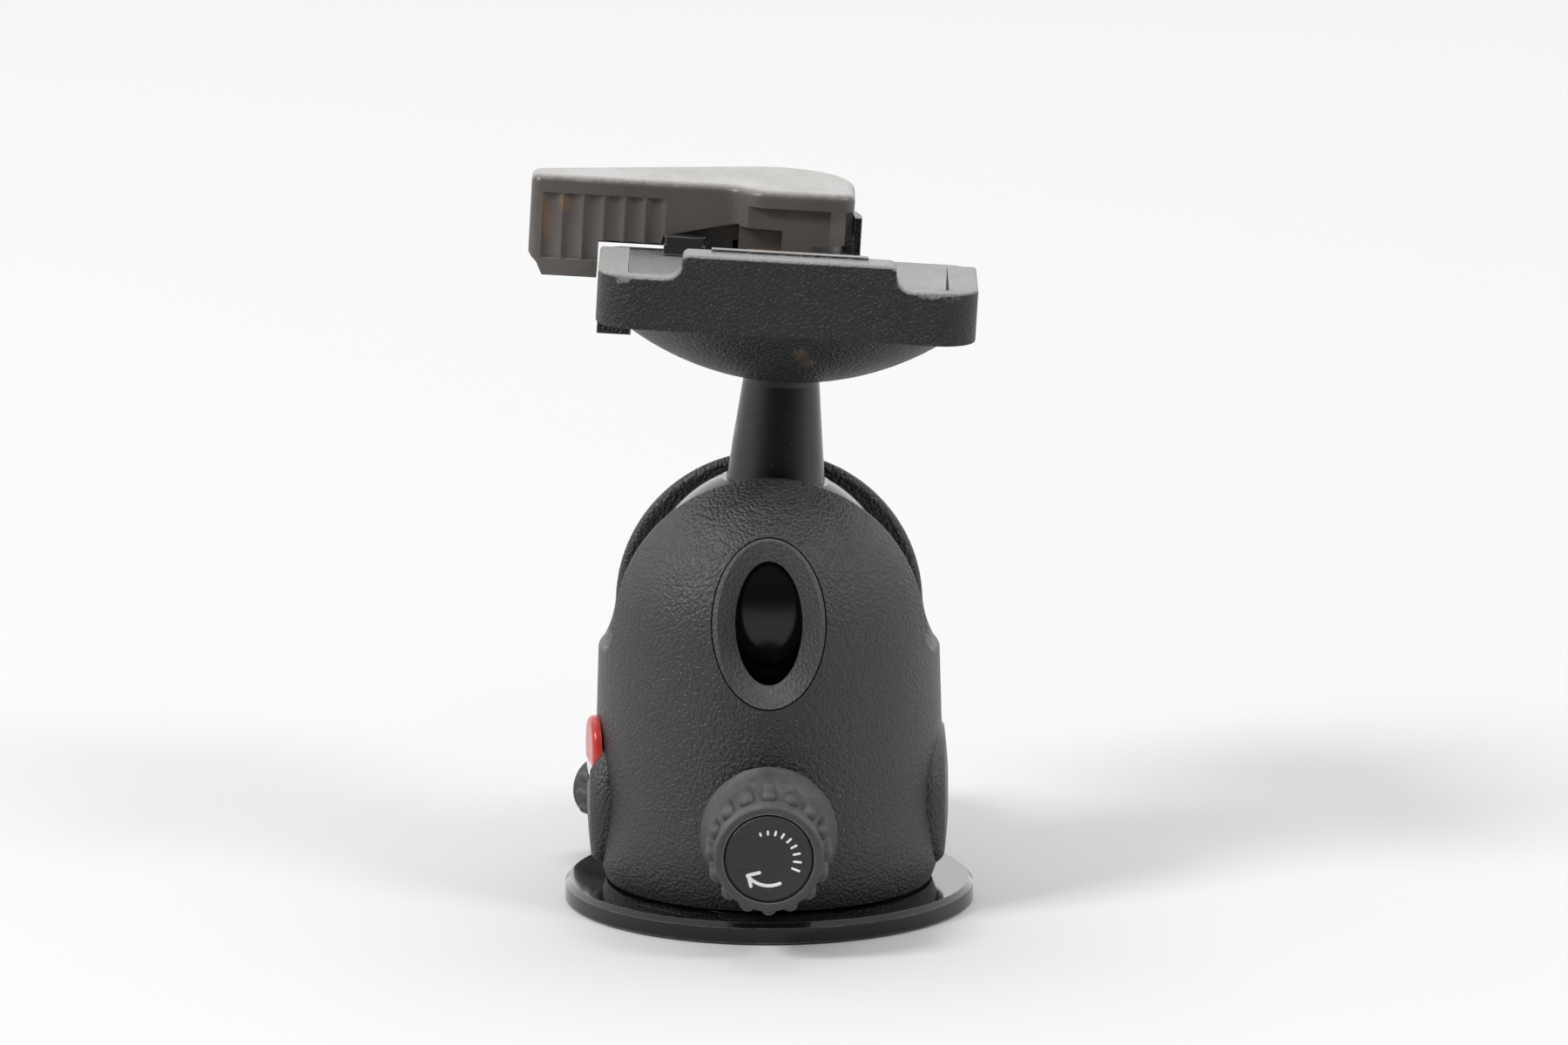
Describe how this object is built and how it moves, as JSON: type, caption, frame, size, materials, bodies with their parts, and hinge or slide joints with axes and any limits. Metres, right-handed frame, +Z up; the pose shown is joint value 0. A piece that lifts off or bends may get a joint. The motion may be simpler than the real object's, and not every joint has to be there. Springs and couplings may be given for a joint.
{
  "type": "tripod ball head",
  "caption": "Ball head for a tripod with a domed housing, a neck in a drop slot, three knobs and a quick-release receiver with a sprung lever.",
  "frame": {"origin": "centre of the base disc's underside, at the mouth of the tripod thread", "axes": "+Z up through the turntable, -Y towards the friction knob, +X to the right, the side that the resting neck leans to"},
  "size_m": [0.0723, 0.0963, 0.1141],
  "materials": {
    "housing": "pebbled black powder coat",
    "bezel": "satin dark grey",
    "disc": "gloss black anodised",
    "badge": "gloss red, domed",
    "ball": "gloss black anodised",
    "neck": "satin black",
    "receiver": "black paint, worn to metal at the edges",
    "lever": "worn taupe paint",
    "knob": "dusty dark rubber",
    "knob_cap": "satin dark plastic with a white turning arrow",
    "brass": "satin brass",
    "catch": "gloss black",
    "steel": "satin steel",
    "spring": "spring steel",
    "liner": "acetal",
    "bronze": "bearing bronze"
  },
  "bodies": {
    "base": {"base_disc": "disc", "turntable_hub": "disc", "lower_thrust_washer": "liner", "upper_thrust_washer": "liner", "hub_circlip": "steel"},
    "housing": {"housing_shell": "housing", "window_bezel": "bezel", "side_badge": "badge", "floor_plate": "bronze", "floor_screws": "steel", "friction_bush": "bronze", "lock_bush": "bronze", "pan_bush": "bronze"},
    "front_tilt": {"friction_liner": "liner"},
    "side_tilt": {"ball_bolt": "steel"},
    "head": {"ball": "ball", "neck": "neck", "clamp_screw": "steel", "clamp_washer": "steel", "receiver": "receiver", "button_collar": "steel", "catch_pin": "steel", "button_spring": "spring", "lever_spring": "spring", "catch_spring": "spring"},
    "lever": {"lever": "lever", "pivot_washer": "steel", "lever_pivot_screw": "steel"},
    "release_button": {"release_button": "brass"},
    "safety_catch": {"safety_catch": "catch"},
    "pressure_cup": {"pressure_cup": "bronze"},
    "friction_drive": {"friction_shaft": "steel", "friction_knob": "knob", "friction_cap": "knob_cap"},
    "friction_plunger": {"friction_plunger": "bronze"},
    "lock_drive": {"lock_shaft": "steel", "lock_knob": "knob", "lock_cap": "knob_cap"},
    "lock_plunger": {"lock_plunger": "bronze"},
    "pan_drive": {"pan_shaft": "steel", "pan_knob": "knob", "pan_cap": "knob_cap"},
    "pan_plunger": {"pan_plunger": "bronze"}
  },
  "joints": [
    {"name": "pan", "type": "hinge", "parent": "base", "child": "housing", "pos_m": [0, 0, 0], "axis": [0, 0, 1], "continuous": true},
    {"name": "front_tilt", "type": "hinge", "parent": "housing", "child": "front_tilt", "pos_m": [0, 0, 0.051], "axis": [1, 0, 0], "range_deg": [-5, 5]},
    {"name": "side_tilt", "type": "hinge", "parent": "front_tilt", "child": "side_tilt", "pos_m": [0, 0, 0.051], "axis": [0, 1, 0], "range_deg": [-93.3, 86.7]},
    {"name": "spin", "type": "hinge", "parent": "side_tilt", "child": "head", "pos_m": [0, 0, 0.051], "axis": [0.0576, 0, 0.9983], "continuous": true},
    {"name": "friction_travel", "type": "slide", "parent": "housing", "child": "friction_plunger", "axis": [0, -1, 0], "range_m": [0, 0.0005]},
    {"name": "friction_turn", "type": "hinge", "parent": "housing", "child": "friction_drive", "pos_m": [0, -0.029, 0.0174], "axis": [0, -1, 0], "range_deg": [0, 181]},
    {"name": "lock_travel", "type": "slide", "parent": "housing", "child": "lock_plunger", "axis": [0, 1, 0], "range_m": [0, 0.0005]},
    {"name": "lock_turn", "type": "hinge", "parent": "housing", "child": "lock_drive", "pos_m": [0, 0.029, 0.022], "axis": [0, 1, 0], "range_deg": [0, 181]},
    {"name": "cup_drop", "type": "slide", "parent": "housing", "child": "pressure_cup", "axis": [0, 0, -1], "range_m": [0, 0.000295]},
    {"name": "pan_lock_travel", "type": "slide", "parent": "housing", "child": "pan_plunger", "axis": [-0.6428, 0.766, 0], "range_m": [0, 0.0007]},
    {"name": "pan_lock_turn", "type": "hinge", "parent": "housing", "child": "pan_drive", "pos_m": [-0.01864, 0.02221, 0.0104], "axis": [-0.6428, 0.766, 0], "range_deg": [0, 361]},
    {"name": "lever_swing", "type": "hinge", "parent": "head", "child": "lever", "pos_m": [0.00117, 0.034, 0.10602], "axis": [-0.0576, 0, -0.9983], "range_deg": [0, 70], "stiffness_Nm_per_rad": 0.02, "springref_deg": -68.75, "deforming": ["lever_spring"]},
    {"name": "button_press", "type": "slide", "parent": "head", "child": "release_button", "axis": [-0.0576, 0, -0.9983], "range_m": [0, 0.0022], "stiffness_N_per_m": 300, "springref_m": -0.003, "deforming": ["button_spring"]},
    {"name": "catch_swing", "type": "hinge", "parent": "head", "child": "safety_catch", "pos_m": [-0.01234, 0.026, 0.1028], "axis": [0.0576, 0, 0.9983], "range_deg": [0, 20], "stiffness_Nm_per_rad": 0.003, "springref_deg": -34.38, "deforming": ["catch_spring"]}
  ],
  "couplings": [
    {"joint": "friction_turn", "follows": "friction_travel", "rad_per_m": 6283.2},
    {"joint": "lock_turn", "follows": "lock_travel", "rad_per_m": 6283.2},
    {"joint": "cup_drop", "follows": "lock_travel", "ratio": 0.57735},
    {"joint": "pan_lock_turn", "follows": "pan_lock_travel", "rad_per_m": 8976}
  ]
}
